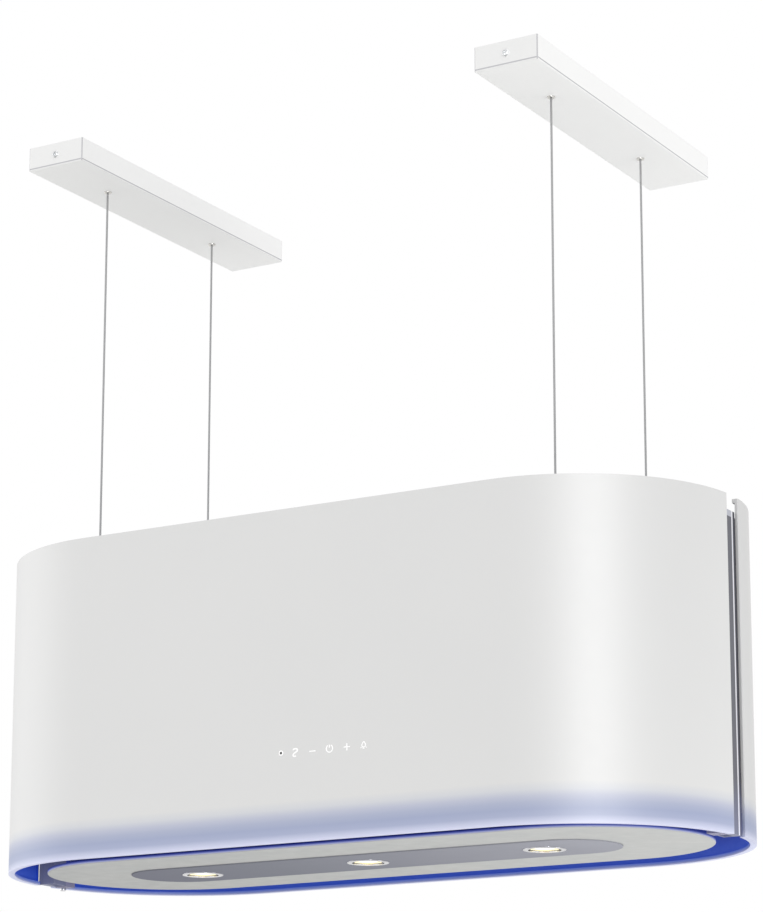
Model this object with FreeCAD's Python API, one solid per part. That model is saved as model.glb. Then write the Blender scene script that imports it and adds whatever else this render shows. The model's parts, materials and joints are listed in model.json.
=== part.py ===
# Island range hood hung on four steel cables, in millimetres.
# Origin: centre of the four ceiling screws, on the ceiling plane. +Z up, the touch controls face -Y.

import FreeCAD
import Part
import math
import os

os.makedirs("parts", exist_ok=True)
vec = FreeCAD.Vector

# ---- driving dimensions -------------------------------------------------------------------------
hood_length = 900.0
hood_depth = 384.0
hood_height = 362.0
hood_bottom = -832.0
sheet = 1.5                    # shell sheet
rim_width = 7.0                # folded rim round the shells' edges
rim_height = 4.0
return_width = 4.0             # folded edges beside the end openings
end_gap = 28.0                 # opening between the two shells at each end
corner_radius = 1.2

canopy_x = 296.0               # ceiling covers and cables stand at +-canopy_x
canopy_width = 76.0
canopy_length = 426.0
canopy_height = 28.0
cable_y = 110.0
cable_radius = 1.25
cable_bore = 1.3
cable_tail = 58.0              # cable below the top deck
ceiling_screw_y = 150.0
ceiling_hole_radius = 3.0

deck_top = hood_bottom + 347.0
deck_sheet = 1.5
deck_bottom = deck_top - deck_sheet
outlet_length = 230.0
outlet_width = 100.0

column_inner = 425.0           # column runs from here to column_face in X
column_face = 446.0
column_half_width = 12.0
tongue_half_width = 12.3
flange_inner = 438.0
flange_outer = 442.0
flange_half_width = 34.0
cap_height = 7.0
foot_outer = 440.0             # foot block at the column's lower end
foot_reach = 30.0
foot_height = 9.0
foot_screw_x = 435.5
foot_screw_y = 21.0
screw_head = 4.0
screw_head_radius = 3.6

panel_length = 816.0
panel_depth = 276.0
panel_lip = 4.0                # height of the panel's outer edge
panel_body_length = 756.0      # the panel's deeper body, set in from its edge
panel_body_depth = 260.0
panel_bottom = hood_bottom + 2.0
panel_top = hood_bottom + 20.0
panel_sheet = 1.5
strip_length = 616.0
strip_width = 115.0
strip_bottom = hood_bottom + 0.5
spot_pitch = 221.0
spot_radius = 23.5
hinge_x = 210.0
hinge_y = 128.0
hinge_z = hood_bottom + 26.0
pin_radius = 2.0
pin_bore = 2.05

frame_bottom = hood_bottom + 38.0
frame_top = hood_bottom + 44.0
housing_half_x = 268.0
housing_half_y = 160.0
housing_sheet = 0.8

fan_y = -50.0
fan_z = hood_bottom + 182.0
scroll_radius = 95.0
scroll_half_length = 106.0
duct_half_width = 45.0
duct_top = hood_bottom + 320.0
shaft_radius = 4.0
shaft_bore = 4.05
wheel_radius = 74.0
blade_count = 26

nut_heights = (75, 285)        # weld nuts on the shells, above the hood's lower edge
lug_places = (-220, 0, 220)    # lugs over the top deck
lug_y = 182.0
lug_sheet = 2.0
housing_screw_x = 235.0
housing_screw_y = 135.0
gland_x = 355.0
gland_radius = 8.0
inlet_radius = 4.0
latch_x = 133.0
catch_x = 90.0
spot_places = (-spot_pitch, 0.0, spot_pitch)
housing_screw_places = [(side_x * housing_screw_x, side_y * housing_screw_y)
                        for side_x in (-1, 1) for side_y in (-1, 1)]

icon_places = {"timer_dot": 7.6, "speed_digit": 25.5, "minus": 47.0,
               "power": 68.0, "plus": 89.5, "lamp": 110.1}
icon_height = hood_bottom + 95.4
icon_thickness = 0.3

sides = (("left", -1), ("right", 1))
corners = (("front_left", -1, -1), ("front_right", 1, -1), ("rear_left", -1, 1), ("rear_right", 1, 1))


# ---- shape helpers ------------------------------------------------------------------------------
def box(x0, x1, y0, y1, z0, z1):
    """Block between two corners, given in any order."""
    low = vec(min(x0, x1), min(y0, y1), min(z0, z1))
    return Part.makeBox(abs(x1 - x0), abs(y1 - y0), abs(z1 - z0), low)


def upright(radius, x, y, z0, z1):
    return Part.makeCylinder(radius, z1 - z0, vec(x, y, z0), vec(0, 0, 1))


def along_x(radius, x0, x1, y, z):
    return Part.makeCylinder(radius, x1 - x0, vec(x0, y, z), vec(1, 0, 0))


def along_y(radius, x, y0, y1, z):
    return Part.makeCylinder(radius, y1 - y0, vec(x, y0, z), vec(0, 1, 0))


def stadium(length, width, z0, z1):
    """Upright prism with straight long sides and half-round ends."""
    radius = width / 2
    straight = length / 2 - radius
    front_left = vec(-straight, -radius, z0)
    front_right = vec(straight, -radius, z0)
    rear_right = vec(straight, radius, z0)
    rear_left = vec(-straight, radius, z0)
    right_tip = vec(straight + radius, 0, z0)
    left_tip = vec(-straight - radius, 0, z0)
    edges = [Part.makeLine(front_left, front_right),
             Part.Arc(front_right, right_tip, rear_right).toShape(),
             Part.makeLine(rear_right, rear_left),
             Part.Arc(rear_left, left_tip, front_left).toShape()]
    return Part.Face(Part.Wire(edges)).extrude(vec(0, 0, z1 - z0))


def stadium_ring(length, width, wall, z0, z1):
    return stadium(length, width, z0, z1).cut(stadium(length - 2 * wall, width - 2 * wall, z0, z1))


def fuse(shapes):
    whole = shapes[0]
    if len(shapes) > 1:
        whole = whole.multiFuse(shapes[1:])
    return whole.removeSplitter()


def cut(shape, tools):
    for tool in tools:
        shape = shape.cut(tool)
    return shape


def hexagon(across_flats, x, y, z0, z1):
    corner = across_flats / math.sqrt(3)
    points = [vec(x + corner * math.cos(math.radians(60 * i)), y + corner * math.sin(math.radians(60 * i)), z0)
              for i in range(7)]
    return Part.Face(Part.makePolygon(points)).extrude(vec(0, 0, z1 - z0))


def pan_screw_down(x, y, seat_z, length):
    """Pan-head screw whose head sits on seat_z and whose shank points down."""
    head = upright(3.5, x, y, seat_z, seat_z + 2.0)
    top_edges = [edge for edge in head.Edges if edge.BoundBox.ZMin > seat_z + 1.9]
    head = head.makeFillet(0.8, top_edges)
    socket = hexagon(2.5, x, y, seat_z + 0.8, seat_z + 2.0)
    return fuse([head.cut(socket), upright(1.7, x, y, seat_z - length, seat_z)])


def group(shapes):
    return Part.makeCompound(shapes)


def save(name, shape):
    shape.exportStep("parts/%s.step" % name)
    print("%-26s %2d solids  %10.1f mm3  valid %s" % (name, len(shape.Solids), shape.Volume, shape.isValid()))


# ---- ceiling side -------------------------------------------------------------------------------
def canopy_cover(x):
    """Open-topped sheet box against the ceiling."""
    half_w = canopy_width / 2
    half_l = canopy_length / 2
    wall = 1.2
    outer = box(x - half_w, x + half_w, -half_l, half_l, -canopy_height, 0)
    rounded = [edge for edge in outer.Edges if edge.BoundBox.ZMax < -0.1 or edge.BoundBox.ZLength > 1]
    outer = outer.makeFillet(corner_radius, rounded)
    inner = box(x - half_w + wall, x + half_w - wall, -half_l + wall, half_l - wall, -canopy_height + wall, 0)
    holes = [upright(3.0, x, y, -canopy_height, -20) for y in (-cable_y, cable_y)]
    holes.append(along_y(2.2, x, -half_l, half_l, -canopy_height / 2))
    return cut(outer, [inner] + holes)


def canopy_bracket(x):
    """Ceiling plate with a turned-down tab at each end for the cover's screws."""
    wall = 1.2
    reach = canopy_length / 2 - wall
    plate = box(x - 30, x + 30, -reach, reach, -2.5, 0)
    tabs = [box(x - 15, x + 15, side * reach, side * (reach - 2.0), -22, -2.5) for side in (-1, 1)]
    holes = [upright(ceiling_hole_radius, x, y, -2.5, 0) for y in (-ceiling_screw_y, ceiling_screw_y)]
    holes += [upright(3.0, x, y, -2.5, 0) for y in (-cable_y, cable_y)]
    holes.append(along_y(1.7, x, -reach, reach, -canopy_height / 2))
    return cut(fuse([plate] + tabs), holes)


def cover_screw(x, side):
    face = side * canopy_length / 2
    z = -canopy_height / 2
    head = along_y(3.5, x, min(face, face + side * 2.0), max(face, face + side * 2.0), z)
    rim = [edge for edge in head.Edges if edge.BoundBox.YLength < 0.1 and abs(edge.BoundBox.YMin) > abs(face) + 1.9]
    head = head.makeFillet(0.8, rim)
    shank = along_y(1.7, x, min(face, face - side * 9), max(face, face - side * 9), z)
    return fuse([head, shank])


def cable_anchor(x, y):
    """Clamp barrel riveted through the ceiling plate; the cable end sits in its blind bore."""
    barrel = fuse([upright(6.0, x, y, -16, -2.5), upright(3.0, x, y, -2.5, 0)])
    bore = upright(cable_bore, x, y, -16, -5.5)
    return barrel.cut(bore)


def ferrule(x, y):
    flange = upright(4.5, x, y, -canopy_height - 1.5, -canopy_height)
    lower = [edge for edge in flange.Edges if edge.BoundBox.ZMax < -canopy_height - 1.4]
    flange = flange.makeFillet(0.6, lower)
    stem = upright(3.0, x, y, -canopy_height, -canopy_height + 3)
    return fuse([flange, stem]).cut(upright(cable_bore, x, y, -canopy_height - 2, -20))


def suspension_cable(x, y):
    return upright(cable_radius, x, y, deck_top - cable_tail, -6)


# ---- outer shells -------------------------------------------------------------------------------
def half_shell(side):
    """Front (side -1) or rear (side +1) half of the outer wall, with folded rims and end returns."""
    z0 = hood_bottom
    z1 = hood_bottom + hood_height
    wall = stadium_ring(hood_length, hood_depth, sheet, z0, z1)
    rims = [stadium_ring(hood_length, hood_depth, rim_width, z0, z0 + rim_height),
            stadium_ring(hood_length, hood_depth, rim_width, z1 - rim_height, z1)]
    half_gap = end_gap / 2
    keep = box(-500, 500, side * half_gap, side * 200, z0, z1)
    returns = stadium_ring(hood_length, hood_depth, return_width, z0, z1).common(
        box(-500, 500, side * half_gap, side * (half_gap + sheet), z0, z1))
    outline = stadium(hood_length - sheet, hood_depth - sheet, z0, z1)
    extras = []
    holes = []
    for end in (-1, 1):
        for height in nut_heights:
            z = z0 + height
            block = box(end * flange_outer, end * 450, side * 20, side * 32, z - 6, z + 6).common(outline)
            extras.append(block)
            holes.append(along_x(1.7, min(end * 440, end * 446), max(end * 440, end * 446), side * 26, z))
    for x in lug_places:
        extras.append(box(x - 10, x + 10, side * 176, side * (hood_depth / 2 - 0.5), deck_top, deck_top + lug_sheet))
        holes.append(upright(2.1, x, side * lug_y, deck_top, deck_top + lug_sheet))
    shell = fuse([wall.common(keep), rims[0].common(keep), rims[1].common(keep), returns] + extras)
    shell = cut(shell, holes)
    corner_x = hood_length / 2 - 2
    upright_edges = [edge for edge in shell.Edges
                     if edge.BoundBox.ZLength > hood_height - 0.1
                     and abs(abs(edge.BoundBox.YMin) - half_gap) < 0.1
                     and abs(edge.BoundBox.XMin) > corner_x]
    return shell.makeFillet(corner_radius, upright_edges)


def shell_screw(end, side, height):
    """Screw from inside the column flange into the shell's weld nut."""
    z = hood_bottom + height
    y = side * 26
    head = along_x(3.4, min(end * 436, end * 438), max(end * 436, end * 438), y, z)
    shank = along_x(1.7, min(end * 438, end * 446), max(end * 438, end * 446), y, z)
    return fuse([head, shank])


def touch_icon(x):
    half_depth = hood_depth / 2
    return along_y(3.6, x, -half_depth - icon_thickness, -half_depth, icon_height)


def touch_board():
    """Sensor board on a plastic carrier against the front shell's inner face."""
    inner_face = -hood_depth / 2 + sheet
    z = icon_height
    carrier = box(-18, 128, inner_face, inner_face + 3, z - 18, z + 18)
    board = box(-14, 124, inner_face + 3, inner_face + 4.6, z - 15, z + 15)
    plug_block = box(96, 116, inner_face + 4.6, inner_face + 12, z - 8, z + 4)
    chips = [box(x, x + 8, inner_face + 4.6, inner_face + 6, z - 5, z + 3) for x in (0, 22, 44, 66)]
    return fuse([carrier, board, plug_block] + chips)


# ---- frame --------------------------------------------------------------------------------------
def end_column(side):
    """Aluminium profile standing in the gap between the shells."""
    z0 = hood_bottom + 1
    z1 = deck_top - cap_height
    core = box(side * column_inner, side * flange_outer, -column_half_width, column_half_width, z0, z1)
    tongue = box(side * flange_outer, side * column_face, -tongue_half_width, tongue_half_width, z0, z1)
    flange = box(side * flange_inner, side * flange_outer, -flange_half_width, flange_half_width, z0 + 59, z1 - 6)
    cavity = box(side * (column_inner + 2), side * (flange_inner - 1), -9, 9, z0, z1)
    holes = [along_x(2.1, min(side * 437, side * 443), max(side * 437, side * 443), y, hood_bottom + height)
             for y in (-26, 26) for height in nut_heights]
    return cut(fuse([core, tongue, flange]), [cavity] + holes)


def column_cap(side):
    z0 = deck_top - cap_height
    lid = box(side * column_inner, side * column_face, -tongue_half_width, tongue_half_width, z0, deck_top)
    upright_edges = [edge for edge in lid.Edges if edge.BoundBox.ZLength > 1 or edge.BoundBox.ZMin > deck_top - 0.1]
    lid = lid.makeFillet(0.8, upright_edges)
    plug = box(side * (column_inner + 2.5), side * (flange_inner - 1.5), -8.5, 8.5, z0 - 8, z0)
    return fuse([lid, plug])


def end_bracket(side):
    """Foot block beside the column's lower end: behind the left column, before the right one."""
    return cut(box(side * column_inner, side * foot_outer, -side * column_half_width, -side * foot_reach,
                   hood_bottom, hood_bottom + foot_height),
               [upright(1.7, side * foot_screw_x, -side * foot_screw_y, hood_bottom, hood_bottom + foot_height)])


def bracket_screw(side):
    """Domed chrome screw, under the left foot and on top of the right one."""
    x = side * foot_screw_x
    y = -side * foot_screw_y
    under = side < 0
    seat = hood_bottom if under else hood_bottom + foot_height
    crown = seat - screw_head if under else seat + screw_head
    head = upright(screw_head_radius, x, y, min(seat, crown), max(seat, crown))
    rim = [edge for edge in head.Edges if edge.BoundBox.ZLength < 0.1 and abs(edge.BoundBox.ZMin - crown) < 0.1]
    shank = upright(1.7, x, y, hood_bottom + (0 if under else 1), seat + (8 if under else 0))
    return fuse([head.makeFillet(1.5, rim), shank])


def column_bracket(side):
    """Angle between the column and the top deck."""
    leg = box(side * (column_inner - 3), side * column_inner, -11, 11, deck_bottom - 40, deck_bottom)
    foot = box(side * (column_inner - 28), side * (column_inner - 3), -11, 11, deck_bottom - 3, deck_bottom)
    return fuse([leg, foot])


def top_deck():
    """Recessed lid with a turned-down edge, open over the fan's outlet."""
    clearance = 0.2
    length = hood_length - 2 * sheet - 2 * clearance
    width = hood_depth - 2 * sheet - 2 * clearance
    plate = stadium(length, width, deck_bottom, deck_top)
    edge = stadium_ring(length, width, 1.5, deck_top - 14, deck_bottom)
    openings = [box(-outlet_length / 2, outlet_length / 2, -outlet_width / 2, outlet_width / 2,
                    deck_bottom, deck_top)]
    for side in (-1, 1):
        openings.append(box(side * (column_inner - 0.5), side * 500, -36, 36, deck_top - 20, deck_top))
    for name, side_x, side_y in corners:
        openings.append(upright(5.2, side_x * canopy_x, side_y * cable_y, deck_bottom, deck_top))
    for x in lug_places:
        for side in (-1, 1):
            openings.append(upright(1.7, x, side * lug_y, deck_bottom, deck_top))
    openings.append(upright(gland_radius, gland_x, 0, deck_bottom, deck_top))
    for x, y in housing_screw_places:
        openings.append(upright(2.1, x, y, deck_bottom, deck_top))
    return cut(fuse([plate, edge]), openings)


def hanger_rail(side):
    """Inverted channel under the deck that spreads the cables' load."""
    x = side * canopy_x
    z0 = deck_bottom - 20
    outer = box(x - 20, x + 20, -165, 165, z0, deck_bottom)
    inner = box(x - 18, x + 18, -165, 165, z0, deck_bottom - 2)
    holes = [upright(5.2, x, y, deck_bottom - 2, deck_bottom) for y in (-cable_y, cable_y)]
    return cut(outer, [inner] + holes)


# ---- cable grippers -----------------------------------------------------------------------------
def cable_gripper(x, y):
    """Threaded gripper through deck and rail, with a counterbore for the release collar."""
    stud = upright(5.0, x, y, deck_top - 18, deck_top)
    flange = hexagon(17, x, y, deck_top, deck_top + 4)
    neck = upright(6.0, x, y, deck_top + 4, deck_top + 15)
    body = fuse([stud, flange, neck])
    return cut(body, [upright(cable_bore, x, y, deck_top - 18, deck_top + 15),
                      upright(3.55, x, y, deck_top + 3, deck_top + 15)])


def release_collar(x, y):
    sleeve = upright(3.5, x, y, deck_top + 7, deck_top + 20)
    knob = upright(5.0, x, y, deck_top + 19, deck_top + 23)
    round_over = [edge for edge in knob.Edges if edge.BoundBox.ZLength < 0.1 and edge.BoundBox.ZMin > deck_top + 22]
    return fuse([sleeve, knob.makeFillet(0.8, round_over)]).cut(
        upright(cable_bore, x, y, deck_top + 7, deck_top + 23))


def gripper_nut(x, y):
    nut = hexagon(15, x, y, deck_bottom - 7, deck_bottom - 2)
    return nut.cut(upright(5.0, x, y, deck_bottom - 7, deck_bottom - 2))


# ---- filter housing and filters -----------------------------------------------------------------
def filter_frame():
    """Flat frame with two windows; the grease filters lie on its ledges."""
    plate = box(-280, 280, -172, 172, frame_bottom, frame_top)
    windows = [box(side * 10, side * 256, -108, 100, frame_bottom, frame_top) for side in (-1, 1)]
    latch_slots = [box(side * latch_x - 13, side * latch_x + 13, -136, -121, frame_bottom, frame_top)
                   for side in (-1, 1)]
    return cut(plate, windows + latch_slots)


def baffle_plate():
    """Closes the space between the frame and the shells."""
    plate = stadium(hood_length - 2 * sheet - 1, hood_depth - 2 * sheet - 1, frame_top, frame_top + 1.5)
    window = box(-housing_half_x - 0.2, housing_half_x + 0.2, -housing_half_y - 0.2, housing_half_y + 0.2,
                 frame_top, frame_top + 2)
    notches = [box(side * (column_inner - 0.5), side * 500, -20, 20, frame_top, frame_top + 2) for side in (-1, 1)]
    return cut(plate, [window] + notches)


def fan_housing():
    """Sheet box round the fan, open to the filters below and to the outlet above."""
    outer = box(-housing_half_x, housing_half_x, -housing_half_y, housing_half_y, frame_top, deck_bottom)
    wall_x = housing_half_x - housing_sheet
    wall_y = housing_half_y - housing_sheet
    inner = box(-wall_x, wall_x, -wall_y, wall_y, frame_top, deck_bottom - housing_sheet)
    outlet = box(-outlet_length / 2, outlet_length / 2, -outlet_width / 2, outlet_width / 2,
                 deck_bottom - 5, deck_bottom)
    holes = [upright(1.7, x, y, deck_bottom - 5, deck_bottom) for x, y in housing_screw_places]
    return cut(outer, [inner, outlet] + holes)


def grease_filter(side):
    """Metal filter cassette: a rim, a thinner core with baffle grooves and a latch pocket."""
    x0 = side * 4
    x1 = side * 262
    cassette = box(x0, x1, -146, 156, frame_top, frame_top + 9)
    recess = box(side * 16, side * 250, -110, 144, frame_top, frame_top + 2)
    grooves = [box(side * 16, side * 250, y, y + 6, frame_top + 2, frame_top + 5) for y in range(-106, 140, 12)]
    middle = side * latch_x
    pocket = box(middle - 16, middle + 16, -146, -116, frame_top, frame_top + 5)
    return cut(cassette, [recess, pocket] + grooves)


def filter_latch(side):
    """Sliding bolt with a finger tab at the filter's front edge."""
    x = side * latch_x
    bolt = box(x - 14, x + 14, -154, -124, frame_top + 0.3, frame_top + 3.3)
    tab = box(x - 11, x + 11, -134, -130, frame_bottom + 1, frame_top + 0.3)
    return fuse([bolt, tab])


def carbon_filter():
    """Cassette with a honeycomb-like grid of square cells between the fan outlet and the grille."""
    z1 = deck_bottom - housing_sheet
    block = box(-120, 120, -54, 54, duct_top, z1)
    cells = [box(x, x + 10, y, y + 10, duct_top, z1) for x in range(-107, 100, 16) for y in range(-43, 40, 16)]
    return cut(block, [group(cells)])


def outlet_grille():
    """Louvred cover over the outlet in the top deck."""
    frame = box(-135, 135, -65, 65, deck_top, deck_top + 4)
    slots = [box(x, x + 9, -50, 50, deck_top, deck_top + 4) for x in range(-112, 105, 12)]
    rounded = [edge for edge in frame.Edges if edge.BoundBox.ZLength > 1]
    return cut(frame.makeFillet(5, rounded), [group(slots)])


# ---- fan ----------------------------------------------------------------------------------------
def blower_scroll():
    """Snail-shaped casing with an inlet in each side plate and a duct up to the outlet."""
    wall = 1.5

    def snail(inset):
        radius = scroll_radius - inset
        reach = scroll_half_length - inset
        duct = duct_half_width - inset
        drum = along_x(radius, -reach, reach, fan_y, fan_z)
        chimney = box(-reach, reach, -duct, duct, fan_z, duct_top)
        return fuse([drum, chimney])

    casing = snail(0).cut(snail(wall))
    inlets = along_x(58, -scroll_half_length, scroll_half_length, fan_y, fan_z)
    collar = box(-118, 118, -62, 62, duct_top - 1.5, duct_top)
    clear = box(-scroll_half_length, scroll_half_length, -duct_half_width, duct_half_width, duct_top - 2, duct_top)
    return fuse([casing.cut(inlets), collar.cut(clear)])


def blower_rail(side):
    """Angle bar across the housing that carries the casing's flange."""
    wall_x = housing_half_x - housing_sheet
    outer = box(-wall_x, wall_x, side * 47, side * 66, duct_top - 16, duct_top - 1.5)
    inner = box(-wall_x, wall_x, side * 49, side * 66, duct_top - 16, duct_top - 3.5)
    return outer.cut(inner)


def motor_case():
    can = along_x(46, -28, 28, fan_y, fan_z)
    inside = along_x(44.5, -26, 26, fan_y, fan_z)
    bore = along_x(9, -28, 28, fan_y, fan_z)
    vents = []
    for i in range(8):
        angle = math.radians(45 * i)
        y = fan_y + 30 * math.cos(angle)
        z = fan_z + 30 * math.sin(angle)
        vents.append(along_x(5, -28, 28, y, z))
    return cut(can, [inside, bore, group(vents)])


def motor_mount():
    """Clamp ring round the motor with three arms to the casing."""
    ring = along_x(49, -8, 8, fan_y, fan_z)
    arms = []
    for degrees in (120, 210, 300):
        arm = box(-5, 5, fan_y + 47, fan_y + scroll_radius, fan_z - 6, fan_z + 6)
        arm.rotate(vec(0, fan_y, fan_z), vec(1, 0, 0), degrees)
        arms.append(arm)
    whole = fuse([ring] + arms).common(along_x(scroll_radius - 1.5, -20, 20, fan_y, fan_z))
    return whole.cut(along_x(46, -20, 20, fan_y, fan_z))


def bearing(side):
    ring = along_x(9, min(side * 22, side * 28), max(side * 22, side * 28), fan_y, fan_z)
    return ring.cut(along_x(shaft_bore, -40, 40, fan_y, fan_z))


def motor_stator():
    ring = along_x(44.5, -16, 16, fan_y, fan_z)
    return ring.cut(along_x(25.5, -16, 16, fan_y, fan_z))


def motor_rotor():
    return along_x(24.5, -16, 16, fan_y, fan_z).cut(along_x(shaft_radius, -16, 16, fan_y, fan_z))


def fan_shaft():
    return along_x(shaft_radius, -54, 54, fan_y, fan_z)


def fan_wheel(side):
    """Forward-curved drum wheel: back disc with hub, blades and an end ring."""
    def span(a, b):
        return min(side * a, side * b), max(side * a, side * b)

    x0, x1 = span(34, 50)
    hub = along_x(12, x0, x1, fan_y, fan_z)
    x0, x1 = span(34, 35.5)
    disc = along_x(wheel_radius, x0, x1, fan_y, fan_z)
    x0, x1 = span(96, 99)
    ring = along_x(wheel_radius, x0, x1, fan_y, fan_z).cut(along_x(wheel_radius - 4, x0, x1, fan_y, fan_z))
    blades = []
    for i in range(blade_count):
        blade = box(side * 35, side * 97, fan_y + 60, fan_y + 73, fan_z - 0.6, fan_z + 0.6)
        blade.rotate(vec(0, fan_y + 66.5, fan_z), vec(1, 0, 0), -28)
        blade.rotate(vec(0, fan_y, fan_z), vec(1, 0, 0), 360.0 * i / blade_count)
        blades.append(blade)
    wheel = fuse([hub, disc, ring] + blades)
    return wheel.cut(along_x(shaft_radius, -120, 120, fan_y, fan_z))


# ---- electrics under the deck -------------------------------------------------------------------
def terminal_box():
    outer = box(gland_x - 35, gland_x + 35, -30, 30, deck_bottom - 36, deck_bottom)
    inner = box(gland_x - 33, gland_x + 33, -28, 28, deck_bottom - 34, deck_bottom)
    return outer.cut(inner)


def terminal_block():
    block = box(gland_x - 28, gland_x + 28, 6, 24, deck_bottom - 34, deck_bottom - 18)
    wells = [upright(2.5, gland_x + x, 15, deck_bottom - 24, deck_bottom - 18) for x in (-20, -10, 0, 10, 20)]
    return cut(block, wells)


def cable_gland():
    body = fuse([upright(gland_radius, gland_x, 0, deck_bottom - 8, deck_top),
                 hexagon(22, gland_x, 0, deck_top, deck_top + 6),
                 upright(9.0, gland_x, 0, deck_top + 6, deck_top + 12)])
    return body.cut(upright(inlet_radius, gland_x, 0, deck_bottom - 8, deck_top + 12))


def led_driver():
    body = box(-390, -320, -35, 35, deck_bottom - 30, deck_bottom)
    rounded = [edge for edge in body.Edges if edge.BoundBox.ZLength > 1]
    return body.makeFillet(4, rounded)


# ---- perimeter panel ----------------------------------------------------------------------------
def perimeter_panel():
    """Sheet with a low lip, a taller wall set in from it, and a window for the light strip."""
    tray = stadium(panel_length, panel_depth, panel_bottom, panel_bottom + panel_lip)
    lower = [edge for edge in tray.Edges if edge.BoundBox.ZMax < panel_bottom + 0.1]
    tray = tray.makeFillet(corner_radius, lower)
    inset = 2 * panel_sheet
    inner = stadium(panel_length - inset, panel_depth - inset, panel_bottom + panel_sheet, panel_top)
    wall = stadium_ring(panel_body_length, panel_body_depth, panel_sheet, panel_bottom + panel_sheet, panel_top)
    window = stadium(strip_length - 4, strip_width - 4, panel_bottom, panel_bottom + 3)
    return fuse([cut(tray, [inner, window]), wall])


def panel_backing():
    inset = 2 * panel_sheet
    return stadium(panel_body_length - inset, panel_body_depth - inset, panel_top - 2, panel_top)


def light_strip():
    """Satin plate that carries the three spots, seated in the panel's window."""
    flange = stadium(strip_length, strip_width, strip_bottom, panel_bottom)
    lower = [edge for edge in flange.Edges if edge.BoundBox.ZMax < strip_bottom + 0.1]
    flange = flange.makeFillet(0.8, lower)
    boss = stadium(strip_length - 4, strip_width - 4, panel_bottom, panel_bottom + 3)
    holes = [upright(spot_radius - 4, x, 0, strip_bottom, panel_bottom + 3) for x in spot_places]
    return cut(fuse([flange, boss]), holes)


def spot_bezel(x):
    """Flanged ring pressed into the strip."""
    flange = upright(spot_radius, x, 0, strip_bottom - 1, strip_bottom)
    lower = [edge for edge in flange.Edges if edge.BoundBox.ZMax < strip_bottom - 0.9]
    flange = flange.makeFillet(0.7, lower)
    tube = upright(spot_radius - 4, x, 0, strip_bottom, panel_bottom + 7)
    return fuse([flange, tube]).cut(upright(spot_radius - 5.5, x, 0, strip_bottom - 1, panel_bottom + 7))


def spot_lens(x):
    return upright(spot_radius - 5.5, x, 0, strip_bottom + 0.5, strip_bottom + 3)


def spot_heat_sink(x):
    base = upright(spot_radius - 5.5, x, 0, panel_bottom + 4, panel_bottom + 7)
    plate = upright(spot_radius, x, 0, panel_bottom + 7, panel_bottom + 9)
    outline = upright(spot_radius, x, 0, panel_bottom, panel_top)
    fins = [box(x - spot_radius, x + spot_radius, y, y + 1.5, panel_bottom + 7, panel_top - 2.5).common(outline)
            for y in range(-18, 19, 6)]
    return fuse([base, plate] + fins)


def ambient_light_ring():
    return stadium_ring(panel_body_length - 8, panel_body_depth - 40, 8, panel_top, panel_top + 3)


def hinge_arm(x):
    """Leaf on the panel's back with a knuckle round the hinge pin."""
    half = 14.5
    leaf = box(x - half, x + half, hinge_y - 9, hinge_y + 1.5, panel_top, panel_top + 1.5)
    knuckle = along_x(4.0, x - half, x + half, hinge_y, hinge_z)
    web = box(x - half, x + half, hinge_y - 2, hinge_y + 2, panel_top, hinge_z)
    return fuse([leaf, web, knuckle]).cut(along_x(pin_bore, x - half, x + half, hinge_y, hinge_z))


def hinge_bracket(x):
    """Two ears below the filter frame, one each side of the knuckle."""
    ears = []
    for side in (-1, 1):
        x0 = x + side * 15.0
        x1 = x + side * 18.0
        ear = fuse([along_x(5.0, min(x0, x1), max(x0, x1), hinge_y, hinge_z),
                    box(x0, x1, hinge_y - 5, hinge_y + 5, hinge_z, frame_bottom)])
        ears.append(ear)
    foot = box(x - 18, x + 18, hinge_y - 18, hinge_y + 5, frame_bottom - 2, frame_bottom)
    return fuse(ears + [foot]).cut(along_x(pin_radius, x - 20, x + 20, hinge_y, hinge_z))


def hinge_pin(x):
    return fuse([along_x(pin_radius, x - 19, x + 18, hinge_y, hinge_z),
                 along_x(3.4, x - 20.5, x - 19, hinge_y, hinge_z)])


def magnet_catch(x):
    return box(x - 14, x + 14, -126, -113, panel_top + 2.5, frame_bottom)


def catch_strike(x):
    return box(x - 16, x + 16, -127, -112, panel_top, panel_top + 2)


# ---- write every piece --------------------------------------------------------------------------
def on_both_sides(make):
    """Left and right copies of a piece as one group."""
    return group([make(side) for name, side in sides])


cable_places = [(side_x * canopy_x, side_y * cable_y) for name, side_x, side_y in corners]


def at_cables(make):
    """One copy of a piece on each suspension cable."""
    return group([make(x, y) for x, y in cable_places])


save("canopy_covers", group([canopy_cover(side * canopy_x) for name, side in sides]))
save("canopy_brackets", group([canopy_bracket(side * canopy_x) for name, side in sides]))
save("cover_screws", group([cover_screw(side * canopy_x, end) for name, side in sides for end in (-1, 1)]))
save("cable_anchors", at_cables(cable_anchor))
save("cable_ferrules", at_cables(ferrule))
for (name, side_x, side_y), (x, y) in zip(corners, cable_places):
    save("cable_" + name, suspension_cable(x, y))
    save("release_collar_" + name, release_collar(x, y))
save("cable_grippers", at_cables(cable_gripper))
save("gripper_nuts", at_cables(gripper_nut))

save("front_shell", half_shell(-1))
save("rear_shell", half_shell(1))
save("touch_icons", group([touch_icon(x) for x in icon_places.values()]))
save("touch_board", touch_board())

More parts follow.
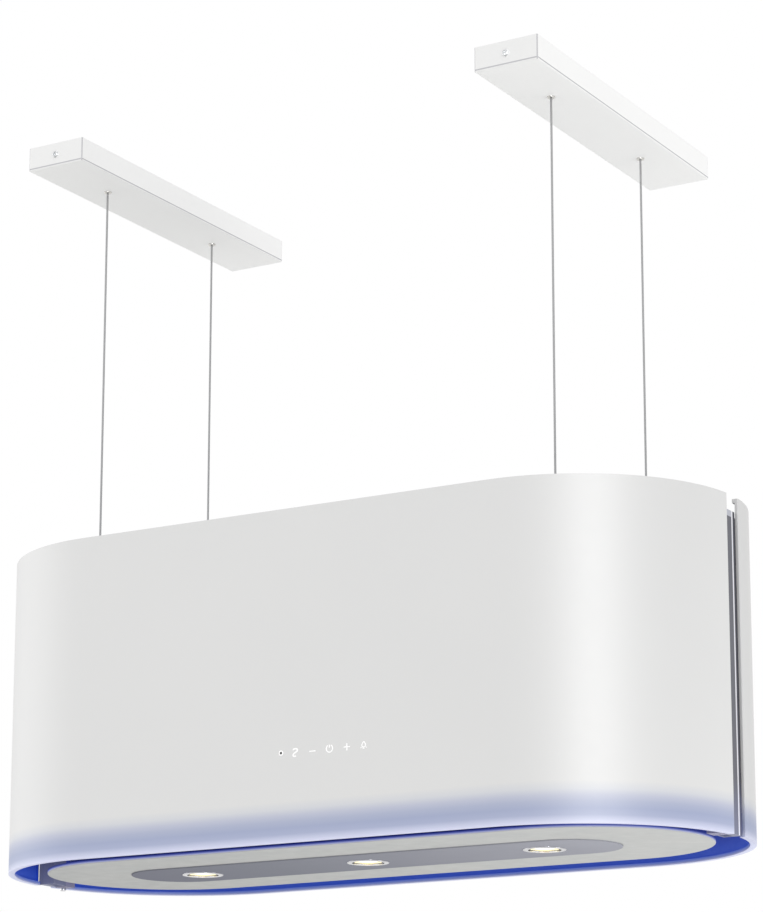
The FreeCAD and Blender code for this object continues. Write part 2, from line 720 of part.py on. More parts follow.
save("end_columns", on_both_sides(end_column))
save("column_caps", on_both_sides(column_cap))
save("end_brackets", on_both_sides(end_bracket))
save("bracket_screws", on_both_sides(bracket_screw))
save("column_brackets", on_both_sides(column_bracket))
save("hanger_rails", on_both_sides(hanger_rail))
save("top_deck", top_deck())
save("outlet_grille", outlet_grille())
deck_screws = [pan_screw_down(x, side * lug_y, deck_top + lug_sheet, 8) for x in lug_places for side in (-1, 1)]
deck_screws += [pan_screw_down(x, y, deck_top, 7) for x, y in housing_screw_places]
nut_screws = [shell_screw(end, side, height) for end in (-1, 1) for side in (-1, 1) for height in nut_heights]
save("frame_screws", group(deck_screws + nut_screws))

save("filter_frame", filter_frame())
save("baffle_plate", baffle_plate())
save("fan_housing", fan_housing())
save("grease_filters", on_both_sides(grease_filter))
for name, side in sides:
    save("filter_latch_" + name, filter_latch(side))
save("carbon_filter", carbon_filter())

save("blower_scroll", blower_scroll())
save("blower_rails", on_both_sides(blower_rail))
save("motor_case", motor_case())
save("motor_mount", motor_mount())
save("motor_bearings", on_both_sides(bearing))
save("motor_stator", motor_stator())
save("motor_rotor", motor_rotor())
save("fan_shaft", fan_shaft())
save("fan_wheels", on_both_sides(fan_wheel))

save("terminal_box", terminal_box())
save("terminal_block", terminal_block())
save("cable_gland", cable_gland())
save("led_driver", led_driver())

save("perimeter_panel", perimeter_panel())
save("panel_backing", panel_backing())
save("light_strip", light_strip())
save("spot_bezels", group([spot_bezel(x) for x in spot_places]))
save("spot_lenses", group([spot_lens(x) for x in spot_places]))
save("spot_heat_sinks", group([spot_heat_sink(x) for x in spot_places]))
save("ambient_light_ring", ambient_light_ring())
save("panel_hinges", group([hinge_arm(x) for x in (-hinge_x, hinge_x)]))
save("hinge_brackets", group([hinge_bracket(x) for x in (-hinge_x, hinge_x)]))
save("hinge_pins", group([hinge_pin(x) for x in (-hinge_x, hinge_x)]))
save("magnet_catches", group([magnet_catch(x) for x in (-catch_x, catch_x)]))
save("catch_strikes", group([catch_strike(x) for x in (-catch_x, catch_x)]))
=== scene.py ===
import json
import math
import bpy
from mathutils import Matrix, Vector


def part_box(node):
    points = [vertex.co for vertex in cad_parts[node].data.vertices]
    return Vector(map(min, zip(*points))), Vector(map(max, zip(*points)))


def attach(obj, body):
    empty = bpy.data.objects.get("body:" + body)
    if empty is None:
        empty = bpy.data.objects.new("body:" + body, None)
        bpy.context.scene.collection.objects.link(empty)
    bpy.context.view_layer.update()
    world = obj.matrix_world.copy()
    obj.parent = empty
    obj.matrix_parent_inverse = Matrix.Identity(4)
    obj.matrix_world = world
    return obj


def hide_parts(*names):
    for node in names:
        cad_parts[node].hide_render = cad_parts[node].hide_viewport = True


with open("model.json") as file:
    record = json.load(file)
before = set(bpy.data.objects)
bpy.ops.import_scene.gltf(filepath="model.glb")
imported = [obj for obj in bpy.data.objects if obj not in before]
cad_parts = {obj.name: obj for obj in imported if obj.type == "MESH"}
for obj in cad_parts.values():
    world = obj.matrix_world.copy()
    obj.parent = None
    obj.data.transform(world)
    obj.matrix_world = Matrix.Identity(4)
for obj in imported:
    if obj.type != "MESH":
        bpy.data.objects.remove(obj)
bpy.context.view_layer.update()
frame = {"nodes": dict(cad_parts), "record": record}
nodes = frame["nodes"]

# places that several pieces share, read from the frame
shellLow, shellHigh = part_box("front_shell")
hoodBottom = shellLow.z
hoodTop = shellHigh.z
hoodRadius = -shellLow.y
straightHalf = shellHigh.x - hoodRadius          # half of the shell's straight run
corners = ("front_left", "front_right", "rear_left", "rear_right")


def fromHex(code):
    # a screen colour as the linear colour that the shader takes
    parts = [int(code[i:i + 2], 16) / 255 for i in (1, 3, 5)]
    return [p / 12.92 if p <= 0.04045 else ((p + 0.055) / 1.055) ** 2.4 for p in parts]


def dimmed(code, share):
    return [value * share for value in fromHex(code)]


# camera
print("camera")
cameraSet = {"place": (1.7147, -2.841, -1.2493), "lens": 118.61, "rise": 12.303,
             "turn": 30.848, "roll": -0.08, "shiftUp": 0.15}
cameraData = bpy.data.cameras.new("hoodCamera")
cameraData.lens = cameraSet["lens"]
cameraData.shift_y = cameraSet["shiftUp"]
hoodCamera = bpy.data.objects.new("hoodCamera", cameraData)
hoodCamera.location = cameraSet["place"]
cameraTurn = (90 + cameraSet["rise"], cameraSet["roll"], cameraSet["turn"])
hoodCamera.rotation_euler = [math.radians(a) for a in cameraTurn]
bpy.context.scene.collection.objects.link(hoodCamera)
bpy.context.scene.camera = hoodCamera


# small helpers for modelling
def selectOnly(*objects):
    if bpy.context.object and bpy.context.object.mode != "OBJECT":
        bpy.ops.object.mode_set(mode="OBJECT")
    bpy.ops.object.select_all(action="DESELECT")
    for o in objects:
        o.select_set(True)
        bpy.context.view_layer.objects.active = o


def settle(piece, name):
    # the piece's place goes into its mesh, so that its object sits at the origin
    selectOnly(piece)
    bpy.ops.object.transform_apply(location=True, rotation=True, scale=True)
    piece.name = name
    piece.data.name = name
    return piece


def joined(parts, name):
    selectOnly(*parts)
    if len(parts) > 1:
        bpy.ops.object.join()
    return settle(bpy.context.view_layer.objects.active, name)


def faceOutward(piece):
    selectOnly(piece)
    bpy.ops.object.mode_set(mode="EDIT")
    bpy.ops.mesh.select_all(action="SELECT")
    bpy.ops.mesh.remove_doubles(threshold=0.000002)
    bpy.ops.mesh.normals_make_consistent(inside=False)
    bpy.ops.object.mode_set(mode="OBJECT")


def pickFaces(piece, test):
    # leaves only the faces whose middle and normal pass the test selected, in edit mode
    selectOnly(piece)
    bpy.ops.object.mode_set(mode="EDIT")
    bpy.ops.mesh.select_mode(type="FACE")
    bpy.ops.mesh.select_all(action="DESELECT")
    bpy.ops.object.mode_set(mode="OBJECT")
    for face in piece.data.polygons:
        face.select = test(face.center, face.normal)
    bpy.ops.object.mode_set(mode="EDIT")


def addModifier(piece, kind, **settings):
    selectOnly(piece)
    modifier = piece.modifiers.new(kind.title(), kind)
    for key, value in settings.items():
        setattr(modifier, key, value)
    bpy.ops.object.modifier_apply(modifier=modifier.name)


# suspension cables
print("suspension cables")
cable = {"diameter": 0.0025, "strands": 6, "pointsPerStrand": 4, "groove": 0.16,
         "layLength": 0.014, "step": 0.001, "smoothAngle": 50,
         # depths of the route's points under its upper end
         "nearCover": 0.018, "middle": 0.18, "nearGripper": 0.36}


def cableRoute(corner):
    low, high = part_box("cable_" + corner)
    x, y = (low.x + high.x) / 2, (low.y + high.y) / 2
    onTheWay = [high.z - cable[name] for name in ("nearCover", "middle", "nearGripper")]
    heights = (high.z, *onTheWay, low.z)
    curve = bpy.data.curves.new("cableRoute", "CURVE")
    curve.dimensions = "3D"
    curve.resolution_u = 24
    spline = curve.splines.new("NURBS")
    spline.points.add(len(heights) - 1)
    for point, z in zip(spline.points, heights):
        point.co = (x, y, z, 1)
    spline.order_u = 3
    spline.use_endpoint_u = True
    route = bpy.data.objects.new("cableRoute", curve)
    line = bpy.data.meshes.new_from_object(route)
    points = [vertex.co.copy() for vertex in line.vertices]
    bpy.data.meshes.remove(line)
    bpy.data.objects.remove(route)
    bpy.data.curves.remove(curve)
    return points


def alongLine(points, distance):
    for start, end in zip(points, points[1:]):
        run = (end - start).length
        if distance <= run and run > 0:
            return start.lerp(end, distance / run)
        distance -= run
    return points[-1]


def strandCable(corner):
    points = cableRoute(corner)
    length = sum((b - a).length for a, b in zip(points, points[1:]))
    rings = round(length / cable["step"])
    around = cable["strands"] * cable["pointsPerStrand"]
    vertices, faces = [], []
    for i in range(rings + 1):
        distance = length * i / rings
        centre = alongLine(points, distance)
        twist = 2 * math.pi * distance / cable["layLength"]
        for k in range(around):
            angle = 2 * math.pi * k / around
            bulge = abs(math.cos(cable["strands"] * angle / 2))
            radius = cable["diameter"] / 2 * (1 - cable["groove"] * (1 - bulge))
            vertices.append((centre.x + radius * math.cos(angle + twist),
                             centre.y + radius * math.sin(angle + twist), centre.z))
    for i in range(rings):
        for k in range(around):
            a, b = i * around + k, i * around + (k + 1) % around
            faces.append((a, a + around, b + around, b))
    faces.append(tuple(range(around)))
    faces.append(tuple(reversed(range(rings * around, (rings + 1) * around))))
    mesh = bpy.data.meshes.new("suspensionCable_" + corner)
    mesh.from_pydata(vertices, [], faces)
    mesh.update()
    piece = bpy.data.objects.new("suspensionCable_" + corner, mesh)
    bpy.context.scene.collection.objects.link(piece)
    faceOutward(piece)
    selectOnly(piece)
    bpy.ops.object.shade_smooth_by_angle(angle=math.radians(cable["smoothAngle"]))
    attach(piece, "ceiling_mount")
    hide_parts("cable_" + corner)
    return piece


cables = [strandCable(corner) for corner in corners]

# floor, world and lights
print("studio")
studio = {"floorDrop": 2.6, "floorSize": 60, "world": 1.0,
          # name: (azimuth to the right of the front, height above the hood, distance,
          #        width, height, power, whether it lights matt surfaces)
          "lights": {"tallStrip": (42, 0.85, 4.2, 1.6, 3.4, 310, False),
                     "leftGleam": (-80, 0.85, 4.2, 3.6, 3.4, 62, False),
                     "frontFill": (-20, 1.2, 4.5, 2.0, 2.5, 12, True),
                     "underFill": (100, -1.3, 1.4, 0.9, 0.9, 7, True)}}

bpy.ops.object.select_all(action="DESELECT")
bpy.ops.mesh.primitive_plane_add(size=studio["floorSize"], location=(0, 0, hoodBottom - studio["floorDrop"]))
studioFloor = settle(bpy.context.object, "studioFloor")

world = bpy.data.worlds.new("studioWorld")
bpy.context.scene.world = world
world.use_nodes = True
world.node_tree.nodes["Background"].inputs["Color"].default_value = (1, 1, 1, 1)
world.node_tree.nodes["Background"].inputs["Strength"].default_value = studio["world"]
bpy.context.scene.view_settings.view_transform = "Standard"

hoodCentre = Vector((0, 0, (hoodBottom + hoodTop) / 2))
for name, (azimuth, rise, distance, width, height, power, lightsDiffuse) in studio["lights"].items():
    data = bpy.data.lights.new(name, "AREA")
    data.shape = "RECTANGLE"
    data.size, data.size_y, data.energy = width, height, power
    lamp = bpy.data.objects.new(name, data)
    turn = math.radians(azimuth)
    lamp.location = hoodCentre + Vector((distance * math.sin(turn), -distance * math.cos(turn), rise))
    lamp.rotation_euler = (hoodCentre - lamp.location).to_track_quat("-Z", "Y").to_euler()
    lamp.visible_camera = False
    lamp.visible_diffuse = lightsDiffuse         # the first two only show as soft gleams
    bpy.context.scene.collection.objects.link(lamp)


# finishes
print("finishes")


def addNode(tree, kind, inputs=None, **settings):
    node = tree.nodes.new("ShaderNode" + kind)
    for key, value in settings.items():
        setattr(node, key, value)
    for key, value in (inputs or {}).items():
        if isinstance(value, bpy.types.NodeSocket):
            tree.links.new(value, node.inputs[key])
        else:
            node.inputs[key].default_value = value
    return node


def newFinish(name, base, rough, metal=0.0, **sockets):
    material = bpy.data.materials.new(name)
    material.use_nodes = True
    tree = material.node_tree
    shader = tree.nodes["Principled BSDF"]
    shader.inputs["Base Color"].default_value = (*base, 1)
    shader.inputs["Roughness"].default_value = rough
    shader.inputs["Metallic"].default_value = metal
    for key, value in sockets.items():
        shader.inputs[key].default_value = value
    return material, tree, shader


def objectPoint(tree, stretch=(1, 1, 1)):
    place = addNode(tree, "TexCoord")
    return addNode(tree, "Mapping", {"Vector": place.outputs["Object"], "Scale": stretch}).outputs["Vector"]


def noise(tree, point, scale, detail=3.0):
    return addNode(tree, "TexNoise", {"Vector": point, "Scale": scale, "Detail": detail}).outputs["Fac"]


def cells(tree, point, scale, randomness=1.0):
    return addNode(tree, "TexVoronoi", {"Vector": point, "Scale": scale, "Randomness": randomness}).outputs


def spread(tree, value, fromLow, fromHigh, toLow=0.0, toHigh=1.0):
    return addNode(tree, "MapRange", {"Value": value, "From Min": fromLow, "From Max": fromHigh,
                                      "To Min": toLow, "To Max": toHigh}).outputs["Result"]


def blotches(tree, point, scale, detail, most=1.0):
    # soft patches between 0 and most
    return spread(tree, noise(tree, point, scale, detail), 0.35, 0.65, 0.0, most)


def calc(tree, operation, first, second=0.0):
    return addNode(tree, "Math", {0: first, 1: second}, operation=operation).outputs["Value"]


def ramp(tree, value, stops):
    node = addNode(tree, "ValToRGB", {"Fac": value})
    line = node.color_ramp
    while len(line.elements) < len(stops):
        line.elements.new(0.5)
    for element, (position, colour) in zip(line.elements, stops):
        element.position = position
        element.color = (*colour, 1)
    return node.outputs["Color"]


def screenRamp(tree, value, stops):
    # a ramp whose stops are given as screen colours
    return ramp(tree, value, [(place, fromHex(code)) for place, code in stops])


def mixed(tree, amount, first, second, way="MIX"):
    node = addNode(tree, "Mix", data_type="RGBA", blend_type=way)
    for index, value in ((0, amount), (6, first), (7, second)):
        if isinstance(value, bpy.types.NodeSocket):
            tree.links.new(value, node.inputs[index])
        else:
            node.inputs[index].default_value = value if index == 0 else (*value, 1)
    return node.outputs[2]


def bump(tree, shader, height, distance, strength=1.0):
    node = addNode(tree, "Bump", {"Height": height, "Distance": distance, "Strength": strength})
    tree.links.new(node.outputs["Normal"], shader.inputs["Normal"])


def feed(tree, shader, socket, value):
    tree.links.new(value, shader.inputs[socket])


def roughBetween(tree, shader, value, low, high):
    feed(tree, shader, "Roughness", spread(tree, value, 0.3, 0.7, low, high))


def between(tree, value, rise, fall):
    # 1 between the two pairs of places, fading to 0 outside them
    return calc(tree, "MULTIPLY", spread(tree, value, *rise), spread(tree, value, *fall))


def squared(tree, value):
    return calc(tree, "MULTIPLY", value, value)


def split(tree, point):
    # the point's coordinates
    return addNode(tree, "SeparateXYZ", {"Vector": point}).outputs


def stadiumReach(tree, point, half):
    # distance from the middle line of a stadium outline, whose straight run reaches half each way
    parts = split(tree, point)
    past = calc(tree, "MAXIMUM", calc(tree, "SUBTRACT", calc(tree, "ABSOLUTE", parts["X"]), half), 0.0)
    square = calc(tree, "ADD", squared(tree, past), squared(tree, parts["Y"]))
    return calc(tree, "SQRT", square), parts["Z"]


shellPaintSet = {"white": dimmed("#dddddd", 0.97), "share": 0.97, "rough": 0.5, "paintedGlowStrength": 0.5,
                 "edgeShadow": fromHex("#231c66"),
                 # depths under the outer face: the lower rim, and where the inner wall begins
                 "rimWidth": 0.007, "wallFrom": 0.0008, "wallTo": 0.0005, "rimTop": (0.0003, 0.0012),
                 # places across the end gap of the shells' folded edges
                 "rearFold": ((0.006, 0.01), (0.026, 0.02)), "frontFold": ((-0.0152, -0.0146), (0.0, -0.004)),
                 "foldFrom": (0.0008, 0.002),
                 "patchScale": 7, "patchShare": 0.035, "patchGrey": (0.55, 0.56, 0.58),
                 # the painted shade on the rear shell's right end: where it starts, and how deep it is
                 "turnedFrom": 0.425, "turnedLeast": 0.09, "turnedMost": 0.2, "turnedAcross": (0.002, 0.06),
                 # screen colours up the sheet's outside and inside, as shares of bandTop and insideTop; the
                 # blue band outside and the blue inside are painted blue light
                 "bandTop": 0.06, "insideTop": 0.1, "bandEnd": 0.72,
                 "outside": [(0.0, "#d6d9f2"), (0.035, "#ccd0e9"), (0.14, "#a7afcd"), (0.25, "#9fa8c7"),
                             (0.37, "#abb2cb"), (0.47, "#bcc0d2"), (0.58, "#d2d4da")],
                 "inside": [(0.0, "#c9cdec"), (0.02, "#8595cf"), (0.05, "#3c5cb8"), (0.15, "#2a4aa8"),
                            (0.35, "#1f2f88"), (0.5, "#2a3a90"), (0.8, "#b4bbdc")],
                 "paintedGlow": [(0.0, "#000000"), (0.05, "#1d3ea6"), (0.15, "#1a379c"), (0.35, "#10206a"),
                          (0.7, "#000000")]}


def shadesUp(side):
    look = shellPaintSet
    return [(place, dimmed(code, look["share"])) for place, code in look[side]]


def shellPaint():
    look = shellPaintSet
    material, tree, shader = newFinish("whiteShellPaint", look["white"], look["rough"])
    point = objectPoint(tree)
    reach, z = stadiumReach(tree, point, straightHalf)
    height = calc(tree, "SUBTRACT", z, hoodBottom)
    upOutside = spread(tree, height, 0, look["bandTop"])
    upInside = spread(tree, height, 0, look["insideTop"])
    # painted blue light: a blue band low on the outside, the blue inside, and a painted blue glow for the
    # emission
    outer = ramp(tree, upOutside, shadesUp("outside") + [(look["bandEnd"], look["white"])])
    inner = ramp(tree, upInside, shadesUp("inside") + [(1.0, look["white"])])
    paintedGlow = screenRamp(tree, upInside, look["paintedGlow"])
    # painted blue light: the inner wall takes the blue colours and the painted glow; on the folded rim the
    # blue fades to the outer edge
    wall = spread(tree, reach, hoodRadius - look["wallFrom"], hoodRadius - look["wallTo"])
    rim = spread(tree, reach, hoodRadius - look["rimWidth"], hoodRadius)
    above = spread(tree, height, *look["rimTop"])
    outside = addNode(tree, "Mix", {0: above, 2: rim, 3: wall}, data_type="FLOAT").outputs[0]
    # the rear shell's folded edges stay white; the front shell's lie in shadow
    across = split(tree, point)["Y"]
    rearEdge = between(tree, across, *look["rearFold"])
    rearEdge = calc(tree, "MULTIPLY", rearEdge, spread(tree, height, *look["foldFrom"]))
    outside = calc(tree, "MAXIMUM", outside, rearEdge)
    frontEdge = between(tree, across, *look["frontFold"])
    frontEdge = calc(tree, "MULTIPLY", frontEdge, calc(tree, "SUBTRACT", 1.0, outside))
    patches = blotches(tree, point, look["patchScale"], 2, look["patchShare"])
    tone = mixed(tree, patches, mixed(tree, outside, inner, outer), look["patchGrey"])
    tone = mixed(tree, frontEdge, tone, look["edgeShadow"])
    paintedGlow = mixed(tree, frontEdge, paintedGlow, (0, 0, 0))
    # painted shade: the rear shell's right end is darkened, as it turns away from the light
    least, most = look["turnedLeast"], look["turnedMost"]
    start, end = look["turnedAcross"]
    shade = calc(tree, "MULTIPLY", spread(tree, split(tree, point)["X"], look["turnedFrom"], shellHigh.x),
                 spread(tree, across, start, end, least, most))
    shade = calc(tree, "MULTIPLY", shade, spread(tree, across, 0.0, start))
    tone = mixed(tree, shade, tone, (0, 0, 0))
    feed(tree, shader, "Base Color", tone)
    feed(tree, shader, "Emission Color", mixed(tree, outside, paintedGlow, (0, 0, 0)))
    shader.inputs["Emission Strength"].default_value = look["paintedGlowStrength"]
    roughBetween(tree, shader, noise(tree, point, 90, 3), look["rough"], look["rough"] + 0.02)
    bump(tree, shader, noise(tree, point, 620, 2), 0.00005, 0.35)
    return material


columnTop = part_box("end_columns")[1].z
columnSet = {"dark": fromHex("#565761"), "pale": fromHex("#66676f"), "capTone": fromHex("#b4b6c0"),
             "highlightTone": fromHex("#e6e6ec"), "gapTone": fromHex("#353642"),
             # where the outer face begins, and places across it of the painted highlight line and the painted
             # shadow line
             "face": (0.4455, 0.4458), "highlightLine": (0.0035, 0.004), "gap": (0.0065, 0.007), "capFade": 0.0004,
             "paintedGlowTop": 0.06, "paintedGlowStrength": 0.8,
             "paintedGlow": [(0.0, "#565a78"), (0.5, "#3c3f5c"), (1.0, "#000000")]}


def columnGrey():
    look = columnSet
    material, tree, shader = newFinish("greyAnodised", fromHex("#7c7e8a"), 0.45, 0.3)
    lines = noise(tree, objectPoint(tree, (1, 1, 0.02)), 900, 4)
    tone = mixed(tree, spread(tree, lines, 0.3, 0.7), look["dark"], look["pale"])
    sides = split(tree, objectPoint(tree))
    height = calc(tree, "SUBTRACT", sides["Z"], hoodBottom)
    # painted blue glow low on the column, for the blue light in the slot
    paintedGlow = screenRamp(tree, spread(tree, height, 0, look["paintedGlowTop"]), look["paintedGlow"])
    feed(tree, shader, "Emission Color", paintedGlow)
    shader.inputs["Emission Strength"].default_value = look["paintedGlowStrength"]
    # under a pale cap, a painted highlight line and a painted shadow line run up the outer face of each
    # column
    face = spread(tree, calc(tree, "ABSOLUTE", sides["X"]), *look["face"])
    across = calc(tree, "MULTIPLY", sides["Y"], calc(tree, "SIGN", sides["X"]))
    cap = spread(tree, sides["Z"], columnTop - look["capFade"], columnTop)
    highlightLine = spread(tree, across, *look["highlightLine"])
    gap = spread(tree, across, *look["gap"])
    for mask, other in ((cap, look["capTone"]), (highlightLine, look["highlightTone"]), (gap, look["gapTone"])):
        tone = mixed(tree, calc(tree, "MULTIPLY", face, mask), tone, other)
    feed(tree, shader, "Base Color", tone)
    roughBetween(tree, shader, lines, 0.38, 0.54)
    bump(tree, shader, lines, 0.00003, 0.35)
    return material


coverLow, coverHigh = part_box("canopy_covers")
cableLow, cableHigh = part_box("cable_front_right")
cableX = (cableLow.x + cableHigh.x) / 2
powderCoatSet = {"white": dimmed("#fafafa", 0.97), "shade": dimmed("#e6e6e8", 0.97),
                 "seamShade": dimmed("#c4c4c8", 0.9), "seamHeight": 0.0022, "seamHalf": 0.0005,
                 "cornerWidth": 0.0011, "plate": 0.0004, "paintedPlateShade": 0.1}


def powderCoat():
    look = powderCoatSet
    material, tree, shader = newFinish("whitePowderCoat", look["white"], 0.48)
    point = objectPoint(tree)
    coat = mixed(tree, blotches(tree, point, 9, 2, 0.05), look["white"], look["shade"])
    # painted shade along the pressed line above the ceiling covers' lower edge, and in their folded corners
    parts = split(tree, point)
    away = calc(tree, "ABSOLUTE", calc(tree, "SUBTRACT", parts["Z"], coverLow.z + look["seamHeight"]))
    seamShade = spread(tree, away, look["seamHalf"] * 2, look["seamHalf"])
    fromCable = calc(tree, "ABSOLUTE", calc(tree, "SUBTRACT", calc(tree, "ABSOLUTE", parts["X"]), cableX))
    side = coverHigh.x - cableX - look["cornerWidth"]
    end = coverHigh.y - look["cornerWidth"]
    corner = calc(tree, "MULTIPLY", calc(tree, "GREATER_THAN", fromCable, side),
                  calc(tree, "GREATER_THAN", calc(tree, "ABSOLUTE", parts["Y"]), end))
    # painted shade: the end plates are a little darker
    plate = calc(tree, "GREATER_THAN", calc(tree, "ABSOLUTE", parts["Y"]), coverHigh.y - look["plate"])
    coat = mixed(tree, calc(tree, "MULTIPLY", plate, look["paintedPlateShade"]), coat, (0, 0, 0))
    feed(tree, shader, "Base Color", mixed(tree, calc(tree, "MAXIMUM", seamShade, corner), coat, look["seamShade"]))
    roughBetween(tree, shader, noise(tree, point, 60, 3), 0.42, 0.54)
    bump(tree, shader, noise(tree, point, 900, 2), 0.00006, 0.4)
    return material


def spangledZinc(name, pale, dark, rough):
    material, tree, shader = newFinish(name, pale, rough, 1.0)
    point = objectPoint(tree)
    flakes = cells(tree, point, 120.0)["Color"]
    grey = addNode(tree, "SeparateColor", {"Color": flakes}).outputs["Red"]
    feed(tree, shader, "Base Color", mixed(tree, grey, dark, pale))
    feed(tree, shader, "Roughness", spread(tree, grey, 0, 1, rough - 0.08, rough + 0.12))
    bump(tree, shader, noise(tree, point, 260, 3), 0.00004, 0.3)
    return material


def brushedMetal(name, pale, dark, rough, stretch, scale=400.0, metal=1.0):
    # fine lines run along the axis whose stretch is small
    material, tree, shader = newFinish(name, pale, rough, metal)
    lines = noise(tree, objectPoint(tree, stretch), scale, 4)
    feed(tree, shader, "Base Color", mixed(tree, spread(tree, lines, 0.3, 0.7), dark, pale))
    roughBetween(tree, shader, lines, rough - 0.07, rough + 0.09)
    bump(tree, shader, lines, 0.00003, 0.35)
    return material


def plainMetal(name, pale, dark, rough, scale=90.0):
    material, tree, shader = newFinish(name, pale, rough, 1.0)
    point = objectPoint(tree)
    feed(tree, shader, "Base Color", mixed(tree, blotches(tree, point, scale, 4), dark, pale))
    roughBetween(tree, shader, noise(tree, point, scale * 4, 3), max(rough - 0.05, 0.02), rough + 0.08)
    bump(tree, shader, noise(tree, point, scale * 12, 2), 0.00002, 0.25)
    return material


def mouldedPlastic(name, base, other, rough, grain=1300.0, depth=0.00006):
    material, tree, shader = newFinish(name, base, rough)
    point = objectPoint(tree)
    feed(tree, shader, "Base Color", mixed(tree, blotches(tree, point, 40, 3), base, other))
    roughBetween(tree, shader, noise(tree, point, 150, 3), rough - 0.06, rough + 0.08)
    bump(tree, shader, noise(tree, point, grain, 2), depth, 0.5)
    return material


panelLow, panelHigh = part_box("perimeter_panel")
panelPaintSet = {"grey": dimmed("#bbbcbb", 0.93), "darkGrey": dimmed("#b5b7b7", 0.93), "rough": 0.45,
                 "lip": 0.006, "leftPaintedShade": 0.86, "rightPaintedShade": 1.07, "paintedGlowStrength": 0.25,
                 "faceTop": (0.0003, 0.0009),
                 "lipBlueLight": [(0.0, "#bcbed2"), (0.22, "#a9aed0"), (0.42, "#5d6ab5"), (0.62, "#2a3584"),
                               (1.0, "#1d2668")]}


def paintedShadeAcross(tree, point, low, high):
    # painted shade: darker towards the left end, as the light falls off there
    x = split(tree, point)["X"]
    return spread(tree, x, panelLow.x, panelHigh.x, low, high)


def panelPaint():
    look = panelPaintSet
    material, tree, shader = newFinish("panelPaint", look["grey"], look["rough"])
    shader.inputs["Specular IOR Level"].default_value = 0.3
    point = objectPoint(tree)
    height = calc(tree, "SUBTRACT", split(tree, point)["Z"], panelLow.z)
    side = spread(tree, height, *look["faceTop"])
    # painted blue light on the panel's side wall, in its colour and a painted glow
    lip = screenRamp(tree, spread(tree, height, 0, look["lip"]), look["lipBlueLight"])
    grain = mixed(tree, blotches(tree, point, 12, 3), look["grey"], look["darkGrey"])
    share = paintedShadeAcross(tree, point, look["leftPaintedShade"], look["rightPaintedShade"])
    shade = addNode(tree, "CombineColor", {name: share for name in ("Red", "Green", "Blue")}).outputs["Color"]
    # painted shade: the grain tone is darkened towards the left end
    grain = mixed(tree, 1.0, grain, shade, "MULTIPLY")
    feed(tree, shader, "Base Color", mixed(tree, side, grain, lip))
    feed(tree, shader, "Emission Color", mixed(tree, side, (0, 0, 0), lip))
    shader.inputs["Emission Strength"].default_value = look["paintedGlowStrength"]
    roughBetween(tree, shader, noise(tree, point, 60, 3), look["rough"] - 0.05, look["rough"] + 0.07)
    bump(tree, shader, noise(tree, point, 800, 2), 0.00005, 0.3)
    return material


# the centre strip's screen colours from the left end to the right end, with painted shade towards the left
stripShadedTones = [(0.1, "#7b7c87"), (0.36, "#84868f"), (0.62, "#93949d"), (0.88, "#a4a5ae")]


def stripGrey():
    material, tree, shader = newFinish("stripGrey", fromHex("#8a8d96"), 0.5)
    shader.inputs["Specular IOR Level"].default_value = 0.0
    point = objectPoint(tree)
    tone = screenRamp(tree, paintedShadeAcross(tree, point, 0.0, 1.0), stripShadedTones)
    patches = blotches(tree, point, 15, 3, 0.12)
    feed(tree, shader, "Base Color", mixed(tree, patches, tone, fromHex("#7f828c")))
    roughBetween(tree, shader, noise(tree, point, 80, 3), 0.32, 0.42)
    bump(tree, shader, noise(tree, objectPoint(tree, (0.03, 1, 1)), 1500, 2), 0.00002, 0.25)
    return material


def blueDiffuser():
    material, tree, shader = newFinish("blueDiffuser", fromHex("#4464d8"), 0.4)
    point = objectPoint(tree)
    dots = spread(tree, cells(tree, point, 110.0, 0.2)["Distance"], 0.0, 0.6)
    feed(tree, shader, "Emission Color", mixed(tree, dots, fromHex("#5f86ff"), fromHex("#1737c9")))
    shader.inputs["Emission Strength"].default_value = 1.4
    bump(tree, shader, noise(tree, point, 700, 2), 0.00005, 0.3)
    return material


def whiteIcons():
    material, tree, shader = newFinish("whiteIcons", fromHex("#fafafa"), 0.4)
    point = objectPoint(tree)
    ink = mixed(tree, noise(tree, point, 800, 2), fromHex("#ffffff"), fromHex("#f0f0f0"))
    feed(tree, shader, "Base Color", ink)
    shader.inputs["Emission Color"].default_value = (1, 1, 1, 1)
    shader.inputs["Emission Strength"].default_value = 0.12
    bump(tree, shader, noise(tree, point, 2500, 2), 0.00002, 0.2)
    return material


def lensGlass():
    material, tree, shader = newFinish("lensGlass", fromHex("#f3efe4"), 0.12)
    shader.inputs["Transmission Weight"].default_value = 0.55
    shader.inputs["IOR"].default_value = 1.49
    point = objectPoint(tree)
    roughBetween(tree, shader, noise(tree, point, 300, 3), 0.08, 0.2)
    bump(tree, shader, noise(tree, point, 900, 2), 0.00003, 0.25)
    return material


def glowing(name, base, bright, soft, strength):
    material, tree, shader = newFinish(name, fromHex(base), 0.3)
    point = objectPoint(tree)
    facets = cells(tree, point, 420.0)["Distance"]
    feed(tree, shader, "Emission Color", mixed(tree, facets, fromHex(bright), fromHex(soft)))
    shader.inputs["Emission Strength"].default_value = strength
    roughBetween(tree, shader, noise(tree, point, 500, 3), 0.22, 0.36)
    bump(tree, shader, facets, 0.0001, 0.3)
    return material


def warmChip():
    material, tree, shader = newFinish("warmChip", fromHex("#f2d27a"), 0.5)
    point = objectPoint(tree)
    grain = cells(tree, point, 900.0)["Distance"]
    feed(tree, shader, "Emission Color", mixed(tree, grain, fromHex("#ffe7a6"), fromHex("#ffcf6a")))
    shader.inputs["Emission Strength"].default_value = 1.2
    return material


